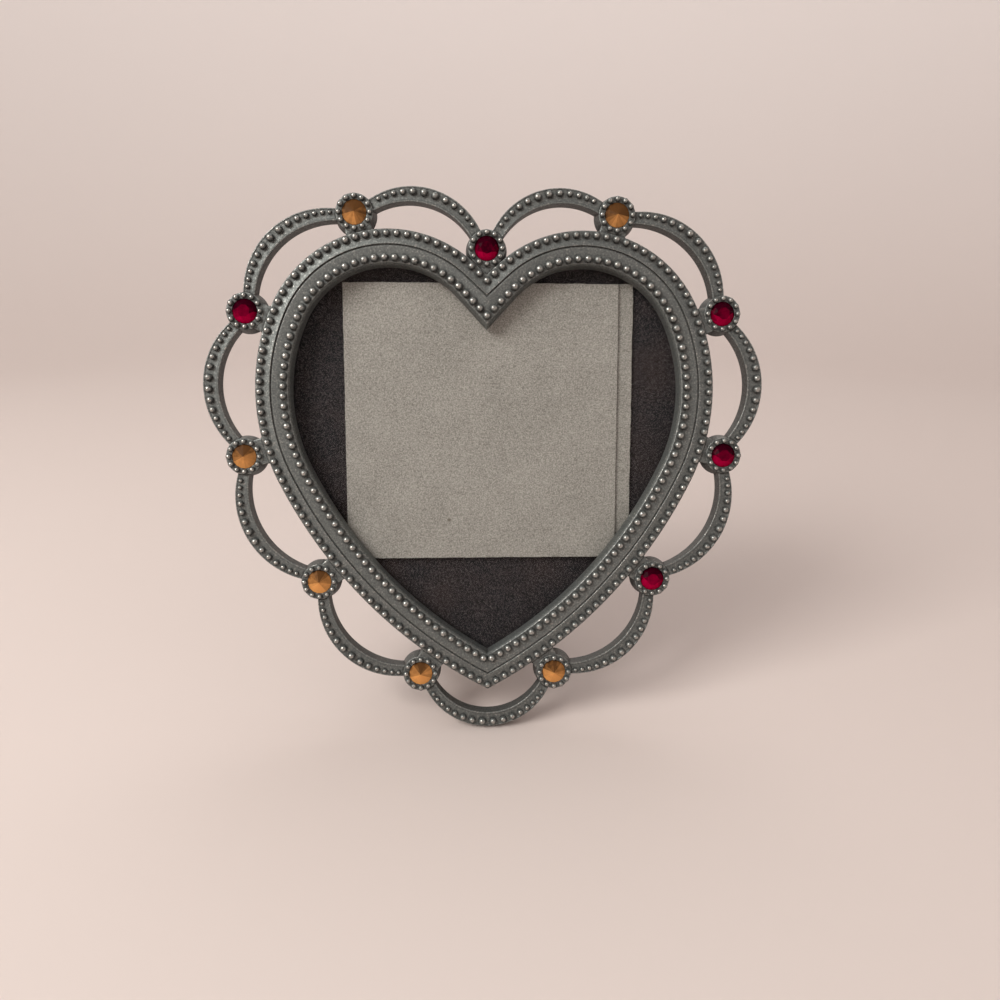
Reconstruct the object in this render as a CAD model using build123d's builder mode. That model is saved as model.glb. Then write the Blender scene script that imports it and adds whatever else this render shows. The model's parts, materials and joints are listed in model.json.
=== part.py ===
from build123d import *
import os
from math import asin, atan2, cos, degrees, hypot, radians, sin, sqrt, tan

# Heart shaped photo frame: a cast metal heart with beaded mouldings, set in a lace of beaded
# scallops that carry stones, with a glazed window and a velvet backed easel behind it.
# Millimetres. +Z is up, -Y is the way the picture faces, and the frame stands on z = 0.

# How it stands
lean_angle = 14.0
leg_open_angle = 24.0
rest_flat_depth = 0.12

# Heart line: the middle of the inner bead row. Each half is a straight flank at the notch,
# then three tangent arcs: the lobe, the side and the long flank down to the tip. Inside the
# groove the notch flanks get steeper, by this many degrees for each millimetre inwards.
lobe_spread = 19.7
lobe_radius = 20.3
notch_flank_angle = 42.5
notch_steepening = 1.25
lobe_end_angle = 24.5
side_radius = 36.5
side_end_angle = -25.5
flank_radius = 93.0

# Moulding, across its width
inner_bead_radius = 0.85
outer_bead_radius = 0.77
bead_pitch = 2.06
bead_undercut = 20.0
bead_margin = 0.05
inner_edge_width = 0.35
sight_bevel_width = 0.30
middle_band_width = 1.45
groove_width = 0.25
outer_band_width = 1.30
edge_lip_width = 0.15
rebate_ledge_width = 4.15

# Moulding, in height
lip_height = 2.7
middle_band_height = 0.06
outer_band_height = 0.26

# Lace of scallops around the heart
lace_thickness = 3.4
lace_drop = 0.5
scallop_rise = 8.4
foot_scallop_rise = 12.1
scallop_mid_width = 3.1
scallop_end_width = 2.0
scallop_lip_width = 0.25
scallop_bead_mid_radius = 0.84
scallop_bead_end_radius = 0.34
scallop_bead_spread = 1.38
scallop_bead_margin = 0.04
scallop_channel_depth = 0.12

# Stone settings
setting_offset = 10.1
lobe_setting_offset = 9.5
notch_setting_rise = 13.35
setting_lobe_angle = 77.0
setting_upper_side_angle = 20.5
setting_lower_side_angle = -16.0
setting_upper_flank_angle = -38.0
setting_lower_flank_angle = -54.2
setting_drop = 0.2
setting_flare = 0.55
setting_rim = 0.02
ring_bead_radius = 0.60
ring_bead_count = 12
neck_width = 5.6
neck_drop = 0.1
neck_overlap = 1.0

# Stones
stone_radius = 2.45
stone_clearance = 0.05
stone_girdle = 1.3
stone_crown = 0.95
stone_facets = 12
ruby_table_radius = 1.25
amber_tip_radius = 0.08
stone_colours = ["ruby", "amber", "ruby", "ruby", "ruby", "amber", "amber", "amber", "amber", "ruby", "amber"]

# Glazing, insert cards and backing, from the window to the back
pane_thickness = 1.0
card_thickness = 0.6
lining_thickness = 0.2
board_thickness = 1.5
velvet_thickness = 0.3
rebate_clearance = 0.3
front_card_width = 57.2
front_card_height = 57.6
front_card_centre = (-1.0, -12.8)
rear_card_width = 57.0
rear_card_height = 57.4
rear_card_centre = (2.3, -12.6)

# Turn buttons on the back of the casting
button_thickness = 0.8
button_gap = 0.1
button_pivot_radius = 2.3
button_nose_radius = 1.5
button_reach = 6.5
button_upper_angle = 60.0
button_lower_angle = -45.0
screw_radius = 0.75
screw_clearance = 0.08
screw_depth = 3.0
screw_head_radius = 1.6
screw_head_height = 0.8
screw_slot_width = 0.4
screw_slot_depth = 0.35

# Easel hinge and leg
hinge_drop = 5.7
leaf_thickness = 0.6
knuckle_radius = 1.2
knuckle_clearance = 0.1
pin_radius = 0.6
pin_clearance = 0.04
pin_overhang = 0.4
middle_knuckle_length = 6.0
end_knuckle_length = 4.0
knuckle_side_gap = 0.15
leaf_length = 13.0
leaf_corner_radius = 1.5
rivet_radius = 0.8
rivet_clearance = 0.05
rivet_head_radius = 1.5
rivet_head_height = 0.4
rivet_spacing = 8.0
rivet_inset = 8.5
leg_board_thickness = 2.0
leg_top_width = 19.0
leg_foot_width = 27.0
leg_top_corner = 5.0
heel_gap = 0.05

# Distances outwards from the heart line, across the moulding
inner_channel = inner_bead_radius + bead_margin
inner_edge = -(inner_channel + inner_edge_width)
sight_edge = inner_edge - sight_bevel_width
middle_band_edge = inner_channel + middle_band_width
outer_band_start = middle_band_edge + groove_width
outer_band_edge = outer_band_start + outer_band_width
outer_row = outer_band_edge + bead_margin + outer_bead_radius
outer_edge = outer_row + outer_bead_radius + bead_margin + edge_lip_width
rebate_edge = sight_edge + rebate_ledge_width
stack_edge = rebate_edge - rebate_clearance

# Heights in front of the casting's back face
velvet_front = velvet_thickness
board_front = velvet_front + board_thickness
lining_front = board_front + lining_thickness
rear_card_front = lining_front + card_thickness
front_card_front = rear_card_front + card_thickness
rebate_depth = front_card_front + pane_thickness
bead_floor = rebate_depth + lip_height
lace_front = bead_floor - lace_drop
lace_back = lace_front - lace_thickness
channel_floor = lace_front - scallop_channel_depth
setting_front = bead_floor - setting_drop

# Ring of beads round each stone, and the drum under it, also where the scallops' beads meet it
cup_radius = stone_radius + stone_clearance
ring_radius = cup_radius + ring_bead_radius
setting_front_radius = ring_radius + ring_bead_radius + setting_rim
setting_back_radius = setting_front_radius + setting_flare
drum_slope = setting_flare / (setting_front - lace_back)
drum_radius = setting_front_radius + drum_slope * (setting_front - channel_floor)
cup_floor = setting_front - stone_girdle

# Centres of the side and flank arcs, tangent to the arc before them
lobe_end = radians(lobe_end_angle)
side_end = radians(side_end_angle)
side_shift = side_radius - lobe_radius
flank_shift = flank_radius - side_radius
lobe_centre = (lobe_spread, 0.0)
side_centre = (lobe_centre[0] - side_shift * cos(lobe_end), lobe_centre[1] - side_shift * sin(lobe_end))
flank_centre = (side_centre[0] - flank_shift * cos(side_end), side_centre[1] - flank_shift * sin(side_end))


def around(centre, radius, angle):
    """Point at an angle in degrees on a circle."""
    return (centre[0] + radius * cos(radians(angle)), centre[1] + radius * sin(radians(angle)))


def notch_start(offset):
    """Angle where a lobe begins, its start point and the notch on the axis, for one heart outline."""
    radius = lobe_radius + offset
    slope = notch_flank_angle + notch_steepening * max(0.0, middle_band_edge - offset)
    angle = slope + 90
    start = around(lobe_centre, radius, angle)
    if start[0] > 0:
        return angle, start, start[1] - tan(radians(slope)) * start[0]
    height = sqrt(radius**2 - lobe_spread**2)
    return degrees(atan2(height, -lobe_spread)), (0.0, height), height


def half_heart(offset):
    """Lines of the right half of a heart outline, this far outside the heart line, from notch to tip."""
    angle, start, notch = notch_start(offset)
    tip_angle = degrees(asin(-flank_centre[0] / (flank_radius + offset))) - 90
    if start[0] > 0:
        Line((0, notch), start)
    CenterArc(lobe_centre, lobe_radius + offset, angle, lobe_end_angle - angle)
    CenterArc(side_centre, side_radius + offset, lobe_end_angle, side_end_angle - lobe_end_angle)
    CenterArc(flank_centre, flank_radius + offset, side_end_angle, tip_angle - side_end_angle)


def heart(offset, mode=Mode.ADD):
    """Heart shaped face in the sketch at hand, its edge this far outside the heart line."""
    with BuildLine() as outline:
        half_heart(offset)
        mirror(about=Plane.YZ)
    make_face(outline.edges(), mode=mode)


# Settings clockwise from the notch, as points in the plane of the frame
right_settings = [
    around(lobe_centre, lobe_radius + lobe_setting_offset, setting_lobe_angle),
    around(side_centre, side_radius + setting_offset, setting_upper_side_angle),
    around(side_centre, side_radius + setting_offset, setting_lower_side_angle),
    around(flank_centre, flank_radius + setting_offset, setting_upper_flank_angle),
    around(flank_centre, flank_radius + setting_offset, setting_lower_flank_angle),
]
left_settings = [(-u, v) for u, v in reversed(right_settings)]
notch_setting = (0.0, notch_start(0)[2] + notch_setting_rise)
settings = [notch_setting] + right_settings + left_settings

# The way from each setting to the heart, down the axis or square to its arc
neck_targets = [(0.0, 0.0), lobe_centre, side_centre, side_centre, flank_centre, flank_centre]
neck_targets = neck_targets + [(-u, v) for u, v in reversed(neck_targets[1:])]
neck_length = setting_offset - outer_edge + neck_overlap


def toward(point, target):
    """Unit vector from one point to another."""
    length = hypot(target[0] - point[0], target[1] - point[1])
    return ((target[0] - point[0]) / length, (target[1] - point[1]) / length)


# Each scallop: its two settings, the unit vector outwards and its rise above their chord
scallops = []
for first, second in zip(settings, settings[1:] + settings[:1]):
    along = toward(first, second)
    rise = foot_scallop_rise if first[1] == second[1] and first[1] < 0 else scallop_rise
    scallops.append((first, second, (-along[1], along[0]), rise))

# The plane of the frame: u to the right, v up the slope, n out of the front
lean = radians(lean_angle)
foot_v = right_settings[-1][1] - foot_scallop_rise
rest_height = -rest_flat_depth - foot_v * cos(lean) - lace_back * sin(lean)

# Hinge line behind the backing, and the leg's slope from upright
hinge_v = notch_start(sight_edge)[2] - hinge_drop
hinge_n = -(knuckle_radius + knuckle_clearance)
leg_face = -(knuckle_radius + knuckle_clearance)
leg_lean = radians(leg_open_angle) - lean
leg_total = leg_board_thickness + velvet_thickness
hinge_height = rest_height + hinge_v * cos(lean) + hinge_n * sin(lean)
leg_reach = hinge_height / cos(leg_lean)

# Half way between the foremost bead of the lowest scallop and the back of the leg's foot
foot_bead_v = foot_v + scallop_lip_width + scallop_bead_margin + scallop_bead_mid_radius
foot_bead_n = channel_floor + scallop_bead_mid_radius * sin(radians(bead_undercut))
front_y = foot_bead_v * sin(lean) - foot_bead_n * cos(lean) - scallop_bead_mid_radius
foot_back = leg_reach * sin(leg_lean) + (leg_total - leg_face) / cos(leg_lean)
back_y = hinge_v * sin(lean) - hinge_n * cos(lean) + foot_back
centre_y = -(front_y + back_y) / 2

frame_plane = Plane((0, centre_y, rest_height), x_dir=(1, 0, 0), z_dir=(0, -cos(lean), sin(lean)))
hinge_point = frame_plane.from_local_coords((0, hinge_v, hinge_n))
leg_plane = Plane(hinge_point, x_dir=(1, 0, 0), z_dir=(0, -cos(leg_lean), -sin(leg_lean)))


# Bands that stand up from the moulding's floor: inner edge, outer edge and height
raised_bands = [
    (inner_channel, middle_band_edge, middle_band_height),
    (outer_band_start, outer_band_edge, outer_band_height),
]

# Turn button pivots on the rim behind the moulding, each with the arc centre that it points to
button_offset = (rebate_edge + outer_edge) / 2
right_buttons = [
    (around(lobe_centre, lobe_radius + button_offset, button_upper_angle), lobe_centre),
    (around(flank_centre, flank_radius + button_offset, button_lower_angle), flank_centre),
]
buttons = right_buttons + [((-p[0], p[1]), (-t[0], t[1])) for p, t in right_buttons]
screw_seat = -(button_gap + button_thickness + button_gap)

# Hinge sizes along its axis, its rivets and the heel that stops the leg against the velvet
end_knuckle_middle = middle_knuckle_length / 2 + knuckle_side_gap + end_knuckle_length / 2
end_knuckle_middles = [-end_knuckle_middle, end_knuckle_middle]
hinge_width = middle_knuckle_length + 2 * (knuckle_side_gap + end_knuckle_length)
rivet_hole_radius = rivet_radius + rivet_clearance
rivet_us = [-rivet_spacing / 2, rivet_spacing / 2]
plate_rivet_points = [(u, hinge_v - rivet_inset) for u in rivet_us]
leg_rivet_points = [(u, -rivet_inset) for u in rivet_us]
opening = radians(leg_open_angle)
heel = -(hinge_n + leg_face * cos(opening) + heel_gap) / sin(opening)
knuckle_plane = Plane(hinge_point, x_dir=(0, 1, 0), z_dir=(1, 0, 0))
standing = (Align.CENTER, Align.CENTER, Align.MIN)
os.makedirs("parts", exist_ok=True)


def seat(point, height):
    """Place on the front side of the frame, at a height in front of the casting's back."""
    return frame_plane.offset(height).location * Location((point[0], point[1], 0))


def scallop_arc(scallop, mid_inset, end_inset):
    """Arc inside a scallop's outer edge, by one inset at its crown and another at its two settings."""
    first, second, (out_u, out_v), rise = scallop
    middle = ((first[0] + second[0]) / 2, (first[1] + second[1]) / 2)
    half_chord = hypot(second[0] - first[0], second[1] - first[1]) / 2
    centre_depth = (half_chord**2 - rise**2) / (2 * rise)
    centre = (middle[0] - centre_depth * out_u, middle[1] - centre_depth * out_v)
    crown = (middle[0] + (rise - mid_inset) * out_u, middle[1] + (rise - mid_inset) * out_v)
    ends = []
    for setting in (first, second):
        u, v = toward(setting, centre)
        ends.append((setting[0] + end_inset * u, setting[1] + end_inset * v))
    return ends[0], crown, ends[1]


def crescent(scallop, outer_inset, mid_inset, end_inset):
    """Crescent face of a scallop in the sketch at hand, between two of its arcs."""
    outer = scallop_arc(scallop, outer_inset, outer_inset)
    inner = scallop_arc(scallop, mid_inset, end_inset)
    with BuildLine() as outline:
        ThreePointArc(*outer)
        Line(outer[2], inner[2])
        ThreePointArc(*reversed(inner))
        Line(inner[0], outer[0])
    make_face(outline.edges())


def bead(point, height, radius):
    """Round bead on the front side of the frame, cut flat a little below its middle, where it is seated."""
    whole = Sphere(radius, arc_size1=-bead_undercut, align=standing, mode=Mode.PRIVATE)
    return whole.moved(seat(point, height))


def heart_row(offset, bead_at_tip):
    """Bead centres along a heart outline, evenly spaced from the notch, with or without one at the tip."""
    with BuildLine() as half:
        half_heart(offset)
    path = half.wire()
    count = round(path.length / bead_pitch)
    steps = count if bead_at_tip else count + 0.5
    right = [path.position_at(step / steps) for step in range(count + 1)]
    left = [(-point.X, point.Y) for point in right if point.X > bead_pitch / 4]
    return [(point.X, point.Y) for point in right] + left


def graduated_row(scallop):
    """Bead centres and radii along a scallop, from the two largest in its middle out to its settings."""
    inset = scallop_lip_width + scallop_bead_margin
    path = ThreePointArc(
        *scallop_arc(scallop, inset + scallop_bead_mid_radius, inset + scallop_bead_end_radius),
        mode=Mode.PRIVATE,
    )
    half = path.length / 2
    shrink = scallop_bead_mid_radius - scallop_bead_end_radius
    reach = scallop_bead_mid_radius * scallop_bead_spread
    beads = []
    while reach < half:
        radius = scallop_bead_mid_radius - shrink * reach / half
        for side in (-1, 1):
            point = path.position_at((half + side * reach) / path.length)
            nearest = min(hypot(point.X - u, point.Y - v) for u, v in scallop[:2])
            if nearest > drum_radius + radius:
                beads.append(((point.X, point.Y), radius))
        reach += 2 * radius * scallop_bead_spread
    return beads


def leaf_outline(axis_v, tabs):
    """Hinge leaf hanging below its axis, with a tab up to each knuckle and holes for its rivets."""
    top = axis_v - knuckle_radius - knuckle_clearance - knuckle_side_gap
    with Locations((0, top)):
        RectangleRounded(hinge_width, leaf_length, leaf_corner_radius, align=(Align.CENTER, Align.MAX))
    for middle, width in tabs:
        with Locations((middle, axis_v)):
            Rectangle(width, axis_v - top + leaf_corner_radius, align=(Align.CENTER, Align.MAX))
    with Locations(*[(u, axis_v - rivet_inset) for u in rivet_us]):
        Circle(rivet_hole_radius, mode=Mode.SUBTRACT)


def leg_outline():
    """Leg in its own plane, its top corners rounded, wider at the foot, with holes for its rivets."""
    half_top = leg_top_width / 2
    half_foot = leg_foot_width / 2
    bottom = -leg_reach - leg_total
    with BuildLine() as outline:
        FilletPolyline(
            (-half_foot, bottom), (-half_top, heel), (half_top, heel), (half_foot, bottom), radius=leg_top_corner
        )
        Line((half_foot, bottom), (-half_foot, bottom))
    make_face(outline.edges())
    with Locations(*leg_rivet_points):
        Circle(rivet_hole_radius, mode=Mode.SUBTRACT)


def rivet(plane, points, start, end):
    """Rivets at points of a plane, their shanks from start to end, with a head beyond each end."""
    for low, high, radius in [
        (start, end, rivet_radius),
        (start - rivet_head_height, start, rivet_head_radius),
        (end, end + rivet_head_height, rivet_head_radius),
    ]:
        with BuildSketch(plane.offset(low)) as section:
            with Locations(*points):
                Circle(radius)
        extrude(section.sketch, amount=high - low)


def keep(piece, name):
    """Label a finished piece and write it out as its own file."""
    piece.part.label = name
    export_step(piece.part, f"parts/{name}.step")


# Frame casting: heart moulding, scallops and stone settings cast in one
channel_mid = scallop_lip_width + 2 * (scallop_bead_mid_radius + scallop_bead_margin)
channel_end = scallop_lip_width + 2 * (scallop_bead_end_radius + scallop_bead_margin)
with BuildPart() as frame_casting:
    with BuildSketch(frame_plane.offset(lace_back)):
        for scallop in scallops:
            crescent(scallop, 0, scallop_mid_width, scallop_end_width)
        with Locations(*settings):
            Circle(setting_front_radius)
    extrude(amount=lace_thickness)
    with BuildSketch(frame_plane.offset(lace_front)):
        for scallop in scallops:
            crescent(scallop, scallop_lip_width, channel_mid, channel_end)
    extrude(amount=-scallop_channel_depth, mode=Mode.SUBTRACT)
    with BuildSketch(frame_plane.offset(lace_back)):
        for setting, target in zip(settings, neck_targets):
            u, v = toward(setting, target)
            middle = (setting[0] + u * neck_length / 2, setting[1] + v * neck_length / 2)
            with Locations(Location((middle[0], middle[1], 0), (0, 0, degrees(atan2(v, u))))):
                Rectangle(neck_length, neck_width)
    extrude(amount=setting_front - neck_drop - lace_back)
    with Locations(*[seat(setting, lace_back) for setting in settings]):
        Cone(setting_back_radius, setting_front_radius, setting_front - lace_back, align=standing)
    with BuildSketch(frame_plane):
        heart(outer_edge)
    extrude(amount=bead_floor)
    for inside, outside, height in raised_bands:
        with BuildSketch(frame_plane.offset(bead_floor)):
            heart(outside)
            heart(inside, mode=Mode.SUBTRACT)
        extrude(amount=height)
    with BuildSketch(frame_plane.offset(rebate_depth)):
        heart(sight_edge)
    with BuildSketch(frame_plane.offset(bead_floor)):
        heart(inner_edge)
    loft(ruled=True, mode=Mode.SUBTRACT)
    with BuildSketch(frame_plane):
        heart(rebate_edge)
    extrude(amount=rebate_depth, mode=Mode.SUBTRACT)
    with Locations(*[seat(setting, cup_floor) for setting in settings]):
        Cylinder(cup_radius, setting_front - cup_floor, align=standing, mode=Mode.SUBTRACT)
    with Locations(*[seat(pivot, 0) for pivot, target in buttons]):
        Cylinder(screw_radius + screw_clearance, screw_depth, align=standing, mode=Mode.SUBTRACT)
    split(bisect_by=Plane.XY, keep=Keep.TOP)
keep(frame_casting, "frame_casting")

# Bead rows of the heart, on the floor of the moulding and cast with it
with BuildPart() as inner_beads:
    with Locations(*[seat(point, bead_floor) for point in heart_row(0, False)]):
        Sphere(inner_bead_radius, arc_size1=-bead_undercut, align=standing)
keep(inner_beads, "inner_beads")

with BuildPart() as outer_beads:
    with Locations(*[seat(point, bead_floor) for point in heart_row(outer_row, True)]):
        Sphere(outer_bead_radius, arc_size1=-bead_undercut, align=standing)
keep(outer_beads, "outer_beads")

# Beads of the scallops, largest in the middle of each, on the floor of their channels
with BuildPart() as scallop_beads:
    add([bead(point, channel_floor, radius) for scallop in scallops for point, radius in graduated_row(scallop)])
keep(scallop_beads, "scallop_beads")

# Rings of small beads round the stones
with BuildPart() as setting_beads:
    with Locations(*[seat(setting, setting_front) for setting in settings]):
        with PolarLocations(ring_radius, ring_bead_count):
            Sphere(ring_bead_radius, arc_size1=-bead_undercut, align=standing)
keep(setting_beads, "setting_beads")

# Stones: a straight girdle in the cup, then a faceted crown, pointed on amber and flat topped on ruby
stone_numbers = {"ruby": 0, "amber": 0}
for setting, colour in zip(settings, stone_colours):
    stone_numbers[colour] += 1
    crown_plane = frame_plane.offset(setting_front)
    with BuildPart() as stone:
        with BuildSketch(frame_plane.offset(cup_floor)):
            with Locations(setting):
                RegularPolygon(stone_radius, stone_facets)
        extrude(amount=stone_girdle)
        with BuildSketch(crown_plane):
            with Locations(setting):
                RegularPolygon(stone_radius, stone_facets)
        with BuildSketch(crown_plane.offset(stone_crown)):
            with Locations(setting):
                RegularPolygon(ruby_table_radius if colour == "ruby" else amber_tip_radius, stone_facets)
        loft(ruled=True)
    keep(stone, f"{colour}_stone_{stone_numbers[colour]}")

# Clear pane behind the lip of the rebate
with BuildPart() as glazing_pane:
    with BuildSketch(frame_plane.offset(front_card_front)):
        heart(stack_edge)
    extrude(amount=pane_thickness)
keep(glazing_pane, "glazing_pane")

# Two grey insert cards, one behind the other, their corners trimmed to the rebate
cards = [
    ("front_card", rear_card_front, front_card_centre, front_card_width, front_card_height),
    ("rear_card", lining_front, rear_card_centre, rear_card_width, rear_card_height),
]
for name, back, centre, width, height in cards:
    with BuildPart() as card:
        with BuildSketch(frame_plane.offset(back)):
            with Locations(centre):
                Rectangle(width, height)
            heart(stack_edge, mode=Mode.INTERSECT)
        extrude(amount=card_thickness)
    keep(card, name)

# Black lining paper, backing board and velvet, glued together and held in by the turn buttons
with BuildPart() as backing_lining:
    with BuildSketch(frame_plane.offset(board_front)):
        heart(stack_edge)
    extrude(amount=lining_thickness)
keep(backing_lining, "backing_lining")

with BuildPart() as backing_board:
    with BuildSketch(frame_plane.offset(velvet_front)):
        heart(stack_edge)
        with Locations(*plate_rivet_points):
            Circle(rivet_hole_radius, mode=Mode.SUBTRACT)
    extrude(amount=board_thickness)
    with BuildSketch(frame_plane.offset(board_front)):
        with Locations(*plate_rivet_points):
            Circle(rivet_head_radius + rivet_clearance)
    extrude(amount=-rivet_head_height, mode=Mode.SUBTRACT)
keep(backing_board, "backing_board")

with BuildPart() as backing_velvet:
    with BuildSketch(frame_plane):
        heart(stack_edge)
        with Locations(*plate_rivet_points):
            Circle(rivet_hole_radius, mode=Mode.SUBTRACT)
    extrude(amount=velvet_thickness)
keep(backing_velvet, "backing_velvet")

# Easel hinge: a plate on the backing with two knuckles, a leaf on the leg with one between them
with BuildPart() as hinge_plate:
    with BuildSketch(frame_plane):
        leaf_outline(hinge_v, [(middle, end_knuckle_length) for middle in end_knuckle_middles])
    extrude(amount=-leaf_thickness)
    for middle in end_knuckle_middles:
        with BuildSketch(knuckle_plane.offset(middle - end_knuckle_length / 2)):
            Circle(knuckle_radius)
        extrude(amount=end_knuckle_length)
    with BuildSketch(knuckle_plane):
        Circle(pin_radius + pin_clearance)
    extrude(amount=hinge_width, both=True, mode=Mode.SUBTRACT)
keep(hinge_plate, "hinge_plate")

with BuildPart() as leg_leaf:
    with BuildSketch(leg_plane.offset(leg_face)):
        leaf_outline(0, [(0, middle_knuckle_length)])
    extrude(amount=leaf_thickness)
    with BuildSketch(knuckle_plane.offset(-middle_knuckle_length / 2)):
        Circle(knuckle_radius)
    extrude(amount=middle_knuckle_length)
    with BuildSketch(knuckle_plane):
        Circle(pin_radius + pin_clearance)
    extrude(amount=hinge_width, both=True, mode=Mode.SUBTRACT)
keep(leg_leaf, "leg_leaf")

with BuildPart() as hinge_pin:
    with BuildSketch(knuckle_plane):
        Circle(pin_radius)
    extrude(amount=hinge_width / 2 + pin_overhang, both=True)
keep(hinge_pin, "hinge_pin")

# Rivets with a head at each end: through the hinge plate and backing, and through the leaf and leg
with BuildPart() as plate_rivets:
    rivet(frame_plane, plate_rivet_points, -leaf_thickness, board_front - rivet_head_height)
keep(plate_rivets, "plate_rivets")

with BuildPart() as leg_rivets:
    rivet(leg_plane, leg_rivet_points, leg_face - leg_total, leg_face + leaf_thickness)
keep(leg_rivets, "leg_rivets")

# Easel leg: a board with velvet on its outer face, cut level at the foot
with BuildPart() as leg_board:
    with BuildSketch(leg_plane.offset(leg_face)):
        leg_outline()
    extrude(amount=-leg_board_thickness)
    split(bisect_by=Plane.XY, keep=Keep.TOP)
keep(leg_board, "leg_board")

with BuildPart() as leg_velvet:
    with BuildSketch(leg_plane.offset(leg_face - leg_board_thickness)):
        leg_outline()
    extrude(amount=-velvet_thickness)
    split(bisect_by=Plane.XY, keep=Keep.TOP)
keep(leg_velvet, "leg_velvet")

# Turn buttons that hold the backing in, each free to turn on its own screw
for number, (pivot, target) in enumerate(buttons, start=1):
    u, v = toward(pivot, target)
    with BuildPart() as turn_button:
        with BuildSketch(frame_plane.offset(-button_gap)):
            with Locations(pivot):
                Circle(button_pivot_radius)
            with Locations((pivot[0] + u * button_reach, pivot[1] + v * button_reach)):
                Circle(button_nose_radius)
            make_hull()
            with Locations(pivot):
                Circle(screw_radius + screw_clearance, mode=Mode.SUBTRACT)
        extrude(amount=-button_thickness)
    keep(turn_button, f"turn_button_{number}")

with BuildPart() as turn_button_screws:
    for pivot, target in buttons:
        with BuildSketch(frame_plane.offset(screw_seat)):
            with Locations(pivot):
                Circle(screw_radius)
        extrude(amount=screw_depth - screw_seat)
        with BuildSketch(frame_plane.offset(screw_seat)):
            with Locations(pivot):
                Circle(screw_head_radius)
        extrude(amount=-screw_head_height)
        with BuildSketch(frame_plane.offset(screw_seat - screw_head_height)):
            with Locations(pivot):
                Rectangle(2 * screw_head_radius, screw_slot_width)
        extrude(amount=screw_slot_depth, mode=Mode.SUBTRACT)
keep(turn_button_screws, "turn_button_screws")
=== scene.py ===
import json
from math import asin, atan2, cos, hypot, pi, radians, sin, tan

import bmesh
import bpy
from mathutils import Matrix, Vector, noise


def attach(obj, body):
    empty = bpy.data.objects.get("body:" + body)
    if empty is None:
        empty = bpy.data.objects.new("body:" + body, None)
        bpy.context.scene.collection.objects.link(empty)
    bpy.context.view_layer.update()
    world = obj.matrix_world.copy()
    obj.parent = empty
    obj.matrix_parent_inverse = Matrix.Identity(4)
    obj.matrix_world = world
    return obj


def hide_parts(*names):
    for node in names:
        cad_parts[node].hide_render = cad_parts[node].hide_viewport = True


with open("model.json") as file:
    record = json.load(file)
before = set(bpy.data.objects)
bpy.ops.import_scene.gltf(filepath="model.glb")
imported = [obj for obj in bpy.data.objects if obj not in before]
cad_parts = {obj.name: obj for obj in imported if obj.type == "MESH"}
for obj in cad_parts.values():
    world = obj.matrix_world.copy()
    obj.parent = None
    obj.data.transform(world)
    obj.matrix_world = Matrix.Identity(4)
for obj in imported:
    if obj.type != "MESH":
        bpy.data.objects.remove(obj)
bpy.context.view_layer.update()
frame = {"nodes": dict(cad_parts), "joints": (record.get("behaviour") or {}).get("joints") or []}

# Heart shaped photo frame: a blackened pewter casting with beaded mouldings and a lace of beaded
# scallops, foil backed stones, a window with two grey cards, and a velvet easel back.
# Places are worked out in millimetres in the frame's own plane: u across, v up the slope and
# n out of the front. They become metres in the shared frame in at().
MM = 0.001

# Points nearer than this are welded, and edges sharper than this stay sharp
weld_gap = 0.001 * MM
crease_angle = radians(38)

# Heart line, the middle of the inner bead row: a straight flank at the notch, then three arcs.
# Inside the groove the notch flanks get steeper, by some degrees for each millimetre inwards.
lobe_spread = 19.7
lobe_radius = 20.3
notch_flank_angle = 42.5
notch_steepening = 1.25
lobe_end_angle = 24.5
side_radius = 36.5
side_end_angle = -25.5
flank_radius = 93.0

# Moulding: distances outwards from the heart line, then heights in front of the back face
sight_edge = -1.55
inner_edge = -1.25
inner_channel = 0.9
middle_band_edge = 2.35
rebate_edge = 2.6
outer_band_edge = 3.9
outer_row = 4.72
outer_edge = 5.69
stack_edge = 2.3
board_front = 1.8
lining_front = 2.0
card_front = 3.2
rebate_depth = 4.2
bead_floor = 6.9
inner_floor = bead_floor - 0.02
outer_floor = bead_floor - 0.04
groove_floor = bead_floor - 0.08
middle_band_top = 6.96
outer_band_top = 7.16

# Beads
inner_bead_radius = 0.85
outer_bead_radius = 0.77
ring_bead_radius = 0.60
bead_pitch = 2.06
bead_undercut = sin(radians(20.0))

# Scallops of the lace
lace_back = 3.0
lace_front = 6.4
channel_floor = 6.28
scallop_rise = 8.4
foot_scallop_rise = 12.1
scallop_mid_width = 3.1
scallop_end_width = 2.0
scallop_lip = 0.25
scallop_bead_mid_radius = 0.84
scallop_bead_end_radius = 0.34
scallop_bead_spread = 1.38
scallop_bead_margin = 0.04

# Stone settings and stones
setting_offset = 10.1
lobe_setting_offset = 9.5
notch_setting_rise = 13.35
setting_front = 6.7
cup_floor = 5.4
cup_radius = 2.5
ring_radius = 3.10
ring_bead_count = 12
setting_front_radius = 3.72
setting_back_radius = 4.27
drum_radius = 3.78
neck_width = 5.6
neck_front = 6.62
neck_length = setting_offset - outer_edge + 1.0
stone_radius = 2.45
stone_crown = 0.95
stone_twist = 37.0
ruby_star_radius = 1.98
ruby_star_rise = 0.52
ruby_table_radius = 1.25
amber_point_radius = 0.02
stone_colours = ["ruby", "amber", "ruby", "ruby", "ruby", "amber", "amber", "amber", "amber", "ruby", "amber"]

# Turn button pivot that the plane of the frame is found from
button_offset = (rebate_edge + outer_edge) / 2
button_upper_angle = 60.0


def around(centre, radius, angle):
    """Point at an angle in degrees on a circle."""
    return (centre[0] + radius * cos(radians(angle)), centre[1] + radius * sin(radians(angle)))


def toward(point, target):
    """Unit vector from one point to another."""
    length = hypot(target[0] - point[0], target[1] - point[1])
    return ((target[0] - point[0]) / length, (target[1] - point[1]) / length)


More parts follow.
